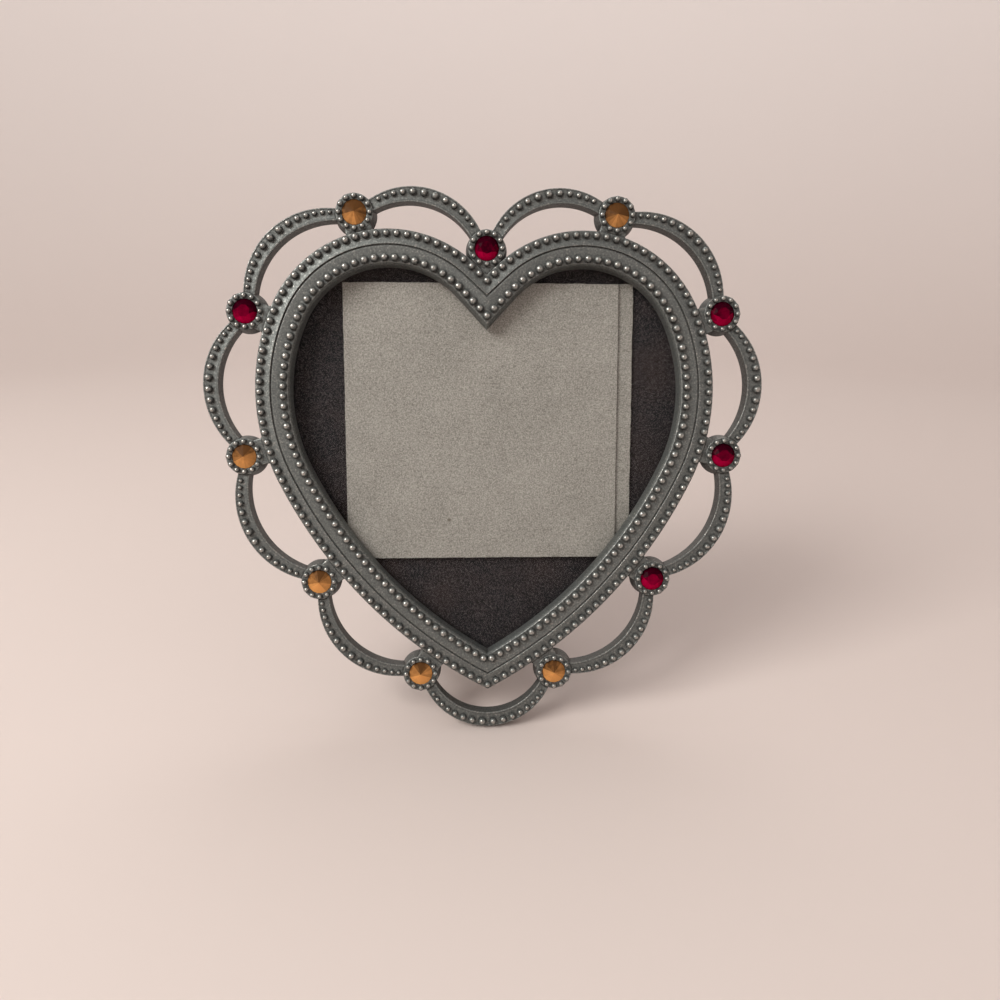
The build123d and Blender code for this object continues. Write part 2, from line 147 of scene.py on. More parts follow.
lobe_centre = (lobe_spread, 0.0)
side_centre = around(lobe_centre, lobe_radius - side_radius, lobe_end_angle)
flank_centre = around(side_centre, side_radius - flank_radius, side_end_angle)

# The plane of the frame, from the turn button's joint, whose axis points out of the back
button_turn = next(joint for joint in frame["joints"] if joint["name"] == "turn_button_1_turn")
across = Vector((1, 0, 0))
facing = -Vector(button_turn["axis"]).normalized()
upward = facing.cross(across)
lean = atan2(facing.z, -facing.y)
pivot_u, pivot_v = around(lobe_centre, lobe_radius + button_offset, button_upper_angle)
origin = Vector(button_turn["pos_m"]) - (pivot_u * across + pivot_v * upward) * MM


def at(u, v, n):
    """Place in the shared frame, in metres, of a point in the frame's own plane, in millimetres."""
    return origin + (u * across + v * upward + n * facing) * MM


def half_heart(offset):
    """Points down the right half of a heart outline, this far outside the heart line, notch to tip."""
    slope = notch_flank_angle + notch_steepening * max(0.0, middle_band_edge - offset)
    notch_angle = slope + 90
    start = around(lobe_centre, lobe_radius + offset, notch_angle)
    notch_v = start[1] - tan(radians(slope)) * start[0]
    tip_angle = asin(-flank_centre[0] / (flank_radius + offset)) * 180 / pi - 90
    flank_steps = 8
    points = []
    for step in range(flank_steps):
        share = step / flank_steps
        points.append((start[0] * share, notch_v + (start[1] - notch_v) * share))
    for centre, radius, first, last, steps in [
        (lobe_centre, lobe_radius, notch_angle, lobe_end_angle, 48),
        (side_centre, side_radius, lobe_end_angle, side_end_angle, 28),
        (flank_centre, flank_radius, side_end_angle, tip_angle, 28),
    ]:
        points += [around(centre, radius + offset, first + (last - first) * s / steps) for s in range(steps)]
    return points + [around(flank_centre, flank_radius + offset, tip_angle)]


def whole_heart(offset):
    """Closed heart outline, clockwise from the notch."""
    right = half_heart(offset)
    return right + [(-u, v) for u, v in reversed(right[1:-1])]


# Settings clockwise from the notch, and the way from each one to the heart
right_settings = [
    around(lobe_centre, lobe_radius + lobe_setting_offset, 77.0),
    around(side_centre, side_radius + setting_offset, 20.5),
    around(side_centre, side_radius + setting_offset, -16.0),
    around(flank_centre, flank_radius + setting_offset, -38.0),
    around(flank_centre, flank_radius + setting_offset, -54.2),
]
notch_setting = (0.0, half_heart(0)[0][1] + notch_setting_rise)
settings = [notch_setting] + right_settings + [(-u, v) for u, v in reversed(right_settings)]
right_targets = [lobe_centre, side_centre, side_centre, flank_centre, flank_centre]
neck_targets = [(0.0, 0.0)] + right_targets + [(-u, v) for u, v in reversed(right_targets)]


def rounded(corners, closed=True, steps=4):
    """Section with rounded corners, each a place, a height, a radius and the parts of the run after it."""
    points = []
    count = len(corners)
    for index, (x, n, radius, parts) in enumerate(corners):
        corner = Vector((x, n))
        before = Vector(corners[index - 1][:2])
        after = Vector(corners[(index + 1) % count][:2])
        if closed or 0 < index < count - 1:
            back = before - corner
            ahead = after - corner
            trim = radius / tan(back.angle(ahead) / 2)
            trim = min(trim, 0.45 * back.length, 0.45 * ahead.length)
            first = corner + back.normalized() * trim
            last = corner + ahead.normalized() * trim
            for step in range(steps + 1):
                share = step / steps
                points.append(first.lerp(corner, share).lerp(corner.lerp(last, share), share))
        else:
            points.append(corner)
        points.append(parts)
    filled = []
    for index, entry in enumerate(points):
        if isinstance(entry, Vector):
            filled.append(entry)
        elif closed or index < len(points) - 1:
            start = points[index - 1]
            end = points[(index + 1) % len(points)]
            filled += [start.lerp(end, part / entry) for part in range(1, entry)]
    return filled


def skin(name, rows, ring=False):
    """Object with a closed skin over a run of closed sections, joined end to end or capped at both ends."""
    bm = bmesh.new()
    loops = [[bm.verts.new(point) for point in row] for row in rows]
    for first, second in zip(loops, loops[1:] + loops[:1] if ring else loops[1:]):
        for corners in zip(first, first[1:] + first[:1], second[1:] + second[:1], second):
            bm.faces.new(corners)
    if not ring:
        bm.faces.new(loops[0])
        bm.faces.new(loops[-1])
    bmesh.ops.recalc_face_normals(bm, faces=bm.faces)
    mesh = bpy.data.meshes.new(name)
    bm.to_mesh(mesh)
    bm.free()
    made = bpy.data.objects.new(name, mesh)
    bpy.context.collection.objects.link(made)
    return made


def baked(made):
    """Gives an object the mesh that its modifiers make, and drops the modifiers."""
    graph = bpy.context.evaluated_depsgraph_get()
    made_now = made.evaluated_get(graph)
    mesh = bpy.data.meshes.new_from_object(made_now, preserve_all_data_layers=True, depsgraph=graph)
    made.modifiers.clear()
    made.data = mesh
    mesh.name = made.name


def drop(made):
    """Removes a helper object and its mesh."""
    mesh = made.data
    bpy.data.objects.remove(made)
    bpy.data.meshes.remove(mesh)


# Materials

def colour(code):
    """Linear colour from an sRGB hex value."""
    parts = [int(code[place:place + 2], 16) / 255 for place in (0, 2, 4)]
    return [c / 12.92 if c <= 0.04045 else ((c + 0.055) / 1.055) ** 2.4 for c in parts] + [1.0]


def per_mm(size):
    """Texture scale whose features are about this many millimetres across."""
    return 1 / (size * MM)


def node(tree, kind, sockets=None, **settings):
    """Adds a node with its settings, and a value or a link for each input socket named or numbered.

    A Mix node of colours takes its share on socket 0 and its colours on 6 and 7, and gives its result on 2.
    """
    made = tree.nodes.new(kind)
    for name, value in settings.items():
        setattr(made, name, value)
    for name, value in (sockets or {}).items():
        if isinstance(value, bpy.types.NodeSocket):
            tree.links.new(value, made.inputs[name])
        else:
            made.inputs[name].default_value = value
    return made


def finish(name, constants):
    """Material of one finish, its node tree and its surface shader, with the values that never vary."""
    material = bpy.data.materials.new(name)
    material.use_nodes = True
    surface = material.node_tree.nodes["Principled BSDF"]
    for socket, value in constants.items():
        surface.inputs[socket].default_value = value
    return material, material.node_tree, surface


def make_pewter():
    """Blackened cast pewter, worn back: a grainy grey face, walls and undersides darker as painted shade,
    recesses dark from the blackening and from painted shade, bright proud spots from wear and a painted glint
    on bead tops.
    """
    material, tree, surface = finish("antiqued_cast_pewter", {"Specular IOR Level": 0.3})
    place = node(tree, "ShaderNodeTexCoord").outputs["Object"]
    grain = node(tree, "ShaderNodeTexNoise", {"Vector": place, "Scale": per_mm(0.36), "Detail": 3}).outputs[0]
    cloud = node(tree, "ShaderNodeTexNoise", {"Vector": place, "Scale": per_mm(5.0), "Detail": 3}).outputs[0]
    relief = node(tree, "ShaderNodeAttribute", attribute_name="relief").outputs["Fac"]
    # Painted light and shade: the front attribute lightens faces towards the front and above, and darkens
    # undersides.
    front = node(tree, "ShaderNodeAttribute", attribute_name="front").outputs["Fac"]
    # Darker within half a millimetre of other surfaces: partly the blackening left in the hollows, partly
    # painted shade in crevices and round each bead's seat.
    hollow_patina_and_shade = node(tree, "ShaderNodeAmbientOcclusion", {"Distance": 0.5 * MM}, samples=8).outputs["AO"]
    lit_share = node(
        tree, "ShaderNodeMapRange", {"Value": front, "From Min": -0.2, "From Max": 0.7, "To Min": 0.05}
    ).outputs[0]
    tone = node(tree, "ShaderNodeMath", {0: lit_share, 1: hollow_patina_and_shade}, operation="MULTIPLY").outputs[0]
    tone = node(tree, "ShaderNodeMath", {0: relief, 1: 0.65, 2: tone}, operation="MULTIPLY_ADD").outputs[0]
    tone = node(tree, "ShaderNodeMath", {0: grain, 1: 1.7, 2: tone}, operation="MULTIPLY_ADD").outputs[0]
    tone = node(tree, "ShaderNodeMath", {0: cloud, 1: 0.25, 2: tone}, operation="MULTIPLY_ADD").outputs[0]
    dull = node(tree, "ShaderNodeMapRange", {"Value": tone, "From Min": 0.95, "From Max": 2.15}).outputs[0]
    # Bright spots: worn-back proud edges, and a painted glint on the bead tops.
    wear_and_glint = node(tree, "ShaderNodeMapRange", {"Value": tone, "From Min": 2.12, "From Max": 2.55}).outputs[0]
    grey = node(
        tree, "ShaderNodeMix", {0: dull, 6: colour("1e1a18"), 7: colour("767a78")}, data_type="RGBA"
    ).outputs[2]
    silver = node(
        tree, "ShaderNodeMix", {0: wear_and_glint, 6: grey, 7: colour("b2b0aa")}, data_type="RGBA"
    ).outputs[2]
    gloss = node(tree, "ShaderNodeMapRange", {"Value": wear_and_glint, "To Min": 0.50, "To Max": 0.28}).outputs[0]
    metal = node(
        tree, "ShaderNodeMapRange",
        {"Value": tone, "From Min": 0.95, "From Max": 2.55, "To Min": 0.05, "To Max": 0.95},
    ).outputs[0]
    bump = node(tree, "ShaderNodeBump", {"Height": grain, "Strength": 0.4, "Distance": 0.05 * MM}).outputs[0]
    tree.links.new(silver, surface.inputs["Base Color"])
    tree.links.new(gloss, surface.inputs["Roughness"])
    tree.links.new(metal, surface.inputs["Metallic"])
    tree.links.new(bump, surface.inputs["Normal"])
    return material


def make_stone_glass(name, dark, bright):
    """Foil backed glass under a clear polished face, each facet coloured by its own share of painted light.
    """
    material, tree, surface = finish(name, {"Roughness": 0.2, "IOR": 1.52, "Specular IOR Level": 0.015})
    place = node(tree, "ShaderNodeTexCoord").outputs["Object"]
    swirl = node(tree, "ShaderNodeTexNoise", {"Vector": place, "Scale": per_mm(0.9), "Detail": 2}).outputs[0]
    painted_facet_light = node(tree, "ShaderNodeAttribute", attribute_name="painted_facet_light").outputs["Fac"]
    glow = node(tree, "ShaderNodeMath", {0: swirl, 1: 0.5, 2: painted_facet_light}, operation="MULTIPLY_ADD").outputs[0]
    share = node(tree, "ShaderNodeMapRange", {"Value": glow, "From Min": 0.25, "From Max": 1.25}).outputs[0]
    tint = node(
        tree, "ShaderNodeMix", {0: share, 6: colour(dark), 7: colour(bright)}, data_type="RGBA"
    ).outputs[2]
    tree.links.new(tint, surface.inputs["Base Color"])
    return material


def make_clear_glass():
    """Thin picture glass: almost nothing but a faint sheen, with a trace of dust."""
    material, tree, surface = finish(
        "clear_sheet_glass",
        {"Base Color": colour("eef2f0"), "IOR": 1.5, "Transmission Weight": 1.0, "Alpha": 0.08},
    )
    place = node(tree, "ShaderNodeTexCoord").outputs["Object"]
    dust = node(tree, "ShaderNodeTexNoise", {"Vector": place, "Scale": per_mm(8.0), "Detail": 4}).outputs[0]
    haze = node(tree, "ShaderNodeMapRange", {"Value": dust, "To Min": 0.02, "To Max": 0.12}).outputs[0]
    tree.links.new(haze, surface.inputs["Roughness"])
    return material


def make_greyboard():
    """Grey chipboard from waste paper: matt, warm grey, with pale and dark fibres and a few specks."""
    material, tree, surface = finish("uncoated_greyboard", {"Roughness": 0.92, "Specular IOR Level": 0.25})
    place = node(tree, "ShaderNodeTexCoord").outputs["Object"]
    fibre = node(tree, "ShaderNodeTexNoise", {"Vector": place, "Scale": per_mm(0.28), "Detail": 3}).outputs[0]
    cloud = node(tree, "ShaderNodeTexNoise", {"Vector": place, "Scale": per_mm(9.0), "Detail": 2}).outputs[0]
    cell = node(tree, "ShaderNodeTexVoronoi", {"Vector": place, "Scale": per_mm(16.0)}).outputs["Distance"]
    blend = node(tree, "ShaderNodeMath", {0: cloud, 1: 0.15, 2: fibre}, operation="MULTIPLY_ADD").outputs[0]
    share = node(tree, "ShaderNodeMapRange", {"Value": blend, "From Min": 0.39, "From Max": 0.76}).outputs[0]
    board = node(
        tree, "ShaderNodeMix", {0: share, 6: colour("787670"), 7: colour("aba9a2")}, data_type="RGBA"
    ).outputs[2]
    speck = node(tree, "ShaderNodeMapRange", {"Value": cell, "From Min": 0.02, "From Max": 0.035}).outputs[0]
    flecked = node(
        tree, "ShaderNodeMix", {0: speck, 6: colour("6f6a61"), 7: board}, data_type="RGBA"
    ).outputs[2]
    bump = node(tree, "ShaderNodeBump", {"Height": fibre, "Strength": 0.3, "Distance": 0.06 * MM}).outputs[0]
    tree.links.new(flecked, surface.inputs["Base Color"])
    tree.links.new(bump, surface.inputs["Normal"])
    return material


def make_black_paper():
    """Black lining paper: matt, mottled and a little browned with age, with a fine tooth."""
    material, tree, surface = finish("black_lining_paper", {"Roughness": 0.85, "Specular IOR Level": 0.3})
    place = node(tree, "ShaderNodeTexCoord").outputs["Object"]
    tooth = node(tree, "ShaderNodeTexNoise", {"Vector": place, "Scale": per_mm(0.35), "Detail": 3}).outputs[0]
    stain = node(tree, "ShaderNodeTexNoise", {"Vector": place, "Scale": per_mm(14.0), "Detail": 4}).outputs[0]
    brown = node(tree, "ShaderNodeMapRange", {"Value": stain, "From Min": 0.40, "From Max": 0.68}).outputs[0]
    aged = node(
        tree, "ShaderNodeMix", {0: brown, 6: colour("161619"), 7: colour("271f1e")}, data_type="RGBA"
    ).outputs[2]
    scuff = node(tree, "ShaderNodeMapRange", {"Value": tooth, "From Min": 0.45, "From Max": 0.75}).outputs[0]
    paper = node(tree, "ShaderNodeMix", {0: scuff, 6: aged, 7: colour("4e4849")}, data_type="RGBA").outputs[2]
    bump = node(tree, "ShaderNodeBump", {"Height": tooth, "Strength": 0.3, "Distance": 0.04 * MM}).outputs[0]
    tree.links.new(paper, surface.inputs["Base Color"])
    tree.links.new(bump, surface.inputs["Normal"])
    return material


def make_hardboard():
    """Pressed fibre board: brown, with short felted fibres, darker in clouds."""
    material, tree, surface = finish("pressed_hardboard", {"Roughness": 0.75})
    place = node(tree, "ShaderNodeTexCoord").outputs["Object"]
    fibre = node(tree, "ShaderNodeTexNoise", {"Vector": place, "Scale": per_mm(0.6), "Detail": 4}).outputs[0]
    share = node(tree, "ShaderNodeMapRange", {"Value": fibre, "From Min": 0.35, "From Max": 0.7}).outputs[0]
    board = node(
        tree, "ShaderNodeMix", {0: share, 6: colour("4a3122"), 7: colour("7d5a3d")}, data_type="RGBA"
    ).outputs[2]
    bump = node(tree, "ShaderNodeBump", {"Height": fibre, "Strength": 0.4, "Distance": 0.08 * MM}).outputs[0]
    tree.links.new(board, surface.inputs["Base Color"])
    tree.links.new(bump, surface.inputs["Normal"])
    return material


def make_velvet():
    """Short pile velvet glued to board: near black, with a soft sheen at the edges and brushed patches."""
    material, tree, surface = finish(
        "black_short_pile_velvet",
        {"Roughness": 0.95, "Specular IOR Level": 0.15, "Sheen Weight": 0.5, "Sheen Roughness": 0.4},
    )
    place = node(tree, "ShaderNodeTexCoord").outputs["Object"]
    pile = node(tree, "ShaderNodeTexNoise", {"Vector": place, "Scale": per_mm(0.35), "Detail": 2}).outputs[0]
    nap = node(tree, "ShaderNodeTexNoise", {"Vector": place, "Scale": per_mm(11.0), "Detail": 3}).outputs[0]
    blend = node(tree, "ShaderNodeMath", {0: nap, 1: 0.9, 2: pile}, operation="MULTIPLY_ADD").outputs[0]
    share = node(tree, "ShaderNodeMapRange", {"Value": blend, "From Min": 0.7, "From Max": 1.3}).outputs[0]
    cloth = node(
        tree, "ShaderNodeMix", {0: share, 6: colour("131214"), 7: colour("353338")}, data_type="RGBA"
    ).outputs[2]
    bump = node(tree, "ShaderNodeBump", {"Height": pile, "Strength": 0.8, "Distance": 0.15 * MM}).outputs[0]
    tree.links.new(cloth, surface.inputs["Base Color"])
    tree.links.new(bump, surface.inputs["Normal"])
    return material


def make_sheet_metal(name, dull, clean, roughness):
    """Plated or solid sheet metal: drawn marks along its length, and duller patches."""
    material, tree, surface = finish(name, {"Metallic": 1.0})
    place = node(tree, "ShaderNodeTexCoord").outputs["Object"]
    stretch = node(tree, "ShaderNodeMapping", {"Vector": place, "Scale": (0.06, 1.0, 1.0)}).outputs[0]
    drawn = node(
        tree, "ShaderNodeTexNoise", {"Vector": stretch, "Scale": per_mm(0.3), "Detail": 2}
    ).outputs[0]
    patch = node(tree, "ShaderNodeTexNoise", {"Vector": place, "Scale": per_mm(4.0), "Detail": 4}).outputs[0]
    share = node(tree, "ShaderNodeMapRange", {"Value": patch, "From Min": 0.35, "From Max": 0.6}).outputs[0]
    sheet = node(
        tree, "ShaderNodeMix", {0: share, 6: colour(dull), 7: colour(clean)}, data_type="RGBA"
    ).outputs[2]
    gloss = node(
        tree, "ShaderNodeMapRange", {"Value": drawn, "To Min": roughness - 0.08, "To Max": roughness + 0.12}
    ).outputs[0]
    bump = node(tree, "ShaderNodeBump", {"Height": drawn, "Strength": 0.2, "Distance": 0.02 * MM}).outputs[0]
    tree.links.new(sheet, surface.inputs["Base Color"])
    tree.links.new(gloss, surface.inputs["Roughness"])
    tree.links.new(bump, surface.inputs["Normal"])
    return material


pewter = make_pewter()
ruby_glass = make_stone_glass("ruby_foiled_glass", "300010", "a00034")
amber_glass = make_stone_glass("amber_foiled_glass", "5a3c22", "d89758")
clear_glass = make_clear_glass()
greyboard = make_greyboard()
black_paper = make_black_paper()
hardboard = make_hardboard()
velvet = make_velvet()
nickel_steel = make_sheet_metal("nickel_plated_steel", "8f8c86", "c4c1ba", 0.30)
brass = make_sheet_metal("dulled_brass", "7d6436", "c09a58", 0.34)


def settle(made, material, body, slot, *nodes):
    """Finishes a piece: its material, the body that it rides on and the CAD nodes it stands for; the slot is
    not used.
    """
    made.data.materials.clear()
    made.data.materials.append(material)
    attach(made, body)
    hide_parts(*nodes)


# Casting: heart moulding, drums, necks and scallops, joined into one skin

def make_moulding():
    """Heart moulding: rebate, sight wall, two bead floors and two bands with a groove between."""
    section = rounded([
        (rebate_edge, 0.0, 0.10, 4),
        (outer_edge, 0.0, 0.40, 10),
        (outer_edge - 0.04, outer_floor, 0.25, 5),
        (outer_band_edge + 0.20, outer_floor, 0.40, 4),
        (rebate_edge + 0.06, outer_band_top, 0.12, 1),
        (rebate_edge - 0.03, groove_floor, 0.04, 1),
        (middle_band_edge + 0.03, groove_floor, 0.04, 1),
        (middle_band_edge - 0.04, middle_band_top + 0.06, 0.10, 5),
        (inner_channel - 0.08, inner_floor, 0.40, 6),
        (-inner_channel, inner_floor, 0.30, 3),
        (inner_edge - 0.02, bead_floor - 0.60, 0.60, 10),
        (sight_edge, rebate_depth, 0.12, 6),
        (rebate_edge, rebate_depth, 0.06, 8),
    ])
    outlines = [whole_heart(point.x) for point in section]
    rows = [
        [at(*outline[station], point.y) for point, outline in zip(section, outlines)]
        for station in range(len(outlines[0]))
    ]
    return skin("pewter_casting", rows, ring=True)


def make_drum(setting):
    """Flared drum of a stone setting, with the cup for its stone."""
    section = rounded([
        (cup_radius - 0.2, cup_floor, 0.0, 1),
        (cup_radius, cup_floor, 0.08, 3),
        (cup_radius, setting_front, 0.08, 4),
        (setting_front_radius, setting_front, 0.18, 6),
        (setting_back_radius, lace_back, 0.35, 2),
        (setting_back_radius - 0.8, lace_back, 0.0, 1),
    ], closed=False)
    turns = 56
    rows = [
        [at(*around(setting, point.x, 360 * turn / turns), point.y) for turn in range(turns)]
        for point in section
    ]
    return skin("drum", rows)


def make_neck(setting, target):
    """Low web from a drum to the heart, waisted, with rounded shoulders."""
    u, v = toward(setting, target)
    shoulder = 0.3
    rows = []
    for share, waist in [(0.47, 0.95), (0.62, 0.96), (0.76, 0.97), (0.88, 1.03), (1.0, 1.16)]:
        half = neck_width * waist / 2
        section = rounded([
            (-half, lace_back, shoulder, 6),
            (half, lace_back, shoulder, 3),
            (half, neck_front, shoulder, 6),
            (-half, neck_front, shoulder, 3),
        ])
        start = (setting[0] + u * neck_length * share, setting[1] + v * neck_length * share)
        rows.append([at(start[0] - v * p.x, start[1] + u * p.x, p.y) for p in section])
    return skin("neck", rows)


# Each scallop: its two settings, the unit vector outwards and its rise above their chord
scallops = []
for first, second in zip(settings, settings[1:] + settings[:1]):
    along = toward(first, second)
    rise = foot_scallop_rise if first[1] == second[1] and first[1] < 0 else scallop_rise
    scallops.append((first, second, (-along[1], along[0]), rise))


def scallop_arc(scallop, mid_inset, end_inset):
    """Centre, radius and half angle of an arc inside a scallop's edge, by its inset at the crown and ends."""
    first, second, out, rise = scallop
    half_chord = hypot(second[0] - first[0], second[1] - first[1]) / 2
    edge_radius = (half_chord**2 + rise**2) / (2 * rise)
    depth = edge_radius - rise
    half_angle = atan2(half_chord, depth)
    end_x = (edge_radius - end_inset) * sin(half_angle)
    end_y = (edge_radius - end_inset) * cos(half_angle)
    crown_y = edge_radius - mid_inset
    shift = (crown_y**2 - end_x**2 - end_y**2) / (2 * (crown_y - end_y))
    middle = ((first[0] + second[0]) / 2, (first[1] + second[1]) / 2)
    centre = (middle[0] + (shift - depth) * out[0], middle[1] + (shift - depth) * out[1])
    return centre, crown_y - shift, atan2(end_x, end_y - shift)


def on_scallop(scallop, arc, angle):
    """Point on a scallop's arc, at an angle from its crown towards its second setting."""
    centre, radius = arc[:2]
    out = scallop[2]
    u = radius * (sin(angle) * out[1] + cos(angle) * out[0])
    v = radius * (-sin(angle) * out[0] + cos(angle) * out[1])
    return (centre[0] + u, centre[1] + v)


channel_mid = scallop_lip + 2 * (scallop_bead_mid_radius + scallop_bead_margin)
channel_end = scallop_lip + 2 * (scallop_bead_end_radius + scallop_bead_margin)


def make_scallop(scallop):
    """Tapered scallop: thin outer lip, bed for its beads, then a fine ridge along its inner edge."""
    edge = scallop_arc(scallop, 0, 0)
    channel = scallop_arc(scallop, channel_mid, channel_end)
    inner = scallop_arc(scallop, scallop_mid_width, scallop_end_width)
    end_gap = 2.9
    reach = 1 - end_gap / (edge[1] * edge[2])
    stations = 44
    rows = []
    for station in range(stations + 1):
        share = reach * (2 * station / stations - 1)
        start = on_scallop(scallop, edge, share * edge[2])
        end = on_scallop(scallop, inner, share * inner[2])
        groove = on_scallop(scallop, channel, share * channel[2])
        width = hypot(end[0] - start[0], end[1] - start[1])
        bed = hypot(groove[0] - start[0], groove[1] - start[1])
        u, v = toward(start, end)
        section = rounded([
            (0.0, lace_back, 0.35, 8),
            (0.0, lace_front - 0.04, 0.10, 1),
            (scallop_lip, lace_front - 0.04, 0.08, 1),
            (scallop_lip + 0.08, channel_floor, 0.06, 4),
            (bed, channel_floor, 0.30, 3),
            (width - 0.45, channel_floor + 0.06, 0.10, 1),
            (width - 0.32, lace_front + 0.06, 0.10, 1),
            (width, lace_front + 0.02, 0.12, 8),
            (width, lace_back, 0.35, 6),
        ])
        rows.append([at(start[0] + u * p.x, start[1] + v * p.x, p.y) for p in section])
    return skin("scallop", rows)


def mark_front(mesh):
    """Stores painted light and shade for each point of a skin: most light on the front and the upper sides,
    less on the back, least on the undersides.
    """
    lit_direction = (0.85 * facing + 0.5 * upward).normalized()
    back_share = 0.45
    front = [max(vert.normal.dot(lit_direction), -back_share * vert.normal.dot(facing)) for vert in mesh.vertices]
    mesh.attributes.new("front", "FLOAT", "POINT").data.foreach_set("value", front)


def within(point, outline):
    """Tells whether a point lies inside a closed outline."""
    u, v = point
    crossings = 0
    for (u1, v1), (u2, v2) in zip(outline, outline[1:] + outline[:1]):
        if (v1 > v) != (v2 > v) and u < u1 + (v - v1) * (u2 - u1) / (v2 - v1):
            crossings += 1
    return crossings % 2 == 1


def paint_light_on_sight_edge(mesh):
    """Paints light on the wall round the window, most at its foot where the wall faces up, least where it
    faces down.
    """
    outline = whole_heart(-inner_channel)
    side_light = 0.6
    foot_light = 0.4
    for vert, lit_share in zip(mesh.vertices, mesh.attributes["front"].data):
        local = (vert.co - origin) / MM
        if within((local.dot(across), local.dot(upward)), outline):
            lit_share.value = max(lit_share.value, side_light + foot_light * vert.normal.dot(upward))


def mark_relief(mesh):
    """Stores how proud each point of a skin stands: above 0 on worn edges, below 0 in recesses."""
    bm = bmesh.new()
    bm.from_mesh(mesh)
    bm.normal_update()
    contrast = 4
    relief = []
    for vert in bm.verts:
        slopes = [(e.other_vert(vert).co - vert.co).normalized().dot(vert.normal) for e in vert.link_edges]
        relief.append(-sum(slopes) / len(slopes))
    smoothed = []
    for vert in bm.verts:
        near = [relief[e.other_vert(vert).index] for e in vert.link_edges]
        mean = (relief[vert.index] + sum(near) / len(near)) / 2
        smoothed.append(max(-1.0, min(1.0, contrast * mean)))
    bm.free()
    mesh.attributes.new("relief", "FLOAT", "POINT").data.foreach_set("value", smoothed)


casting = make_moulding()
parts = [make_drum(setting) for setting in settings]
parts += [make_neck(setting, target) for setting, target in zip(settings, neck_targets)]
parts += [make_scallop(scallop) for scallop in scallops]
for part in parts:
    join = casting.modifiers.new("join", "BOOLEAN")
    join.operation = "UNION"
    join.solver = "MANIFOLD"
    join.object = part
baked(casting)
for part in parts:
    drop(part)

# The lowest scallop is worn flat where the frame stands on it
bm = bmesh.new()
bm.from_mesh(casting.data)
cut = bmesh.ops.bisect_plane(
    bm, geom=bm.verts[:] + bm.edges[:] + bm.faces[:], dist=1e-8,
    plane_co=(0, 0, 0), plane_no=(0, 0, 1), clear_inner=True,
)
rim = [entry for entry in cut["geom_cut"] if isinstance(entry, bmesh.types.BMEdge)]
bmesh.ops.edgeloop_fill(bm, edges=rim)
bmesh.ops.remove_doubles(bm, verts=bm.verts, dist=weld_gap)
bm.to_mesh(casting.data)
bm.free()
casting.data.shade_smooth()
casting.data.set_sharp_from_angle(angle=crease_angle)
even = casting.modifiers.new("even_shading", "WEIGHTED_NORMAL")
even.keep_sharp = True
baked(casting)
# Painted light and shade by facing, painted light on the sight wall, then worn edges and hollows by relief.
mark_front(casting.data)
paint_light_on_sight_edge(casting.data)
mark_relief(casting.data)
settle(casting, pewter, "frame", "antique_pewter", "frame_casting")


# Beads, by one tree of nodes that sets a dome on each seat

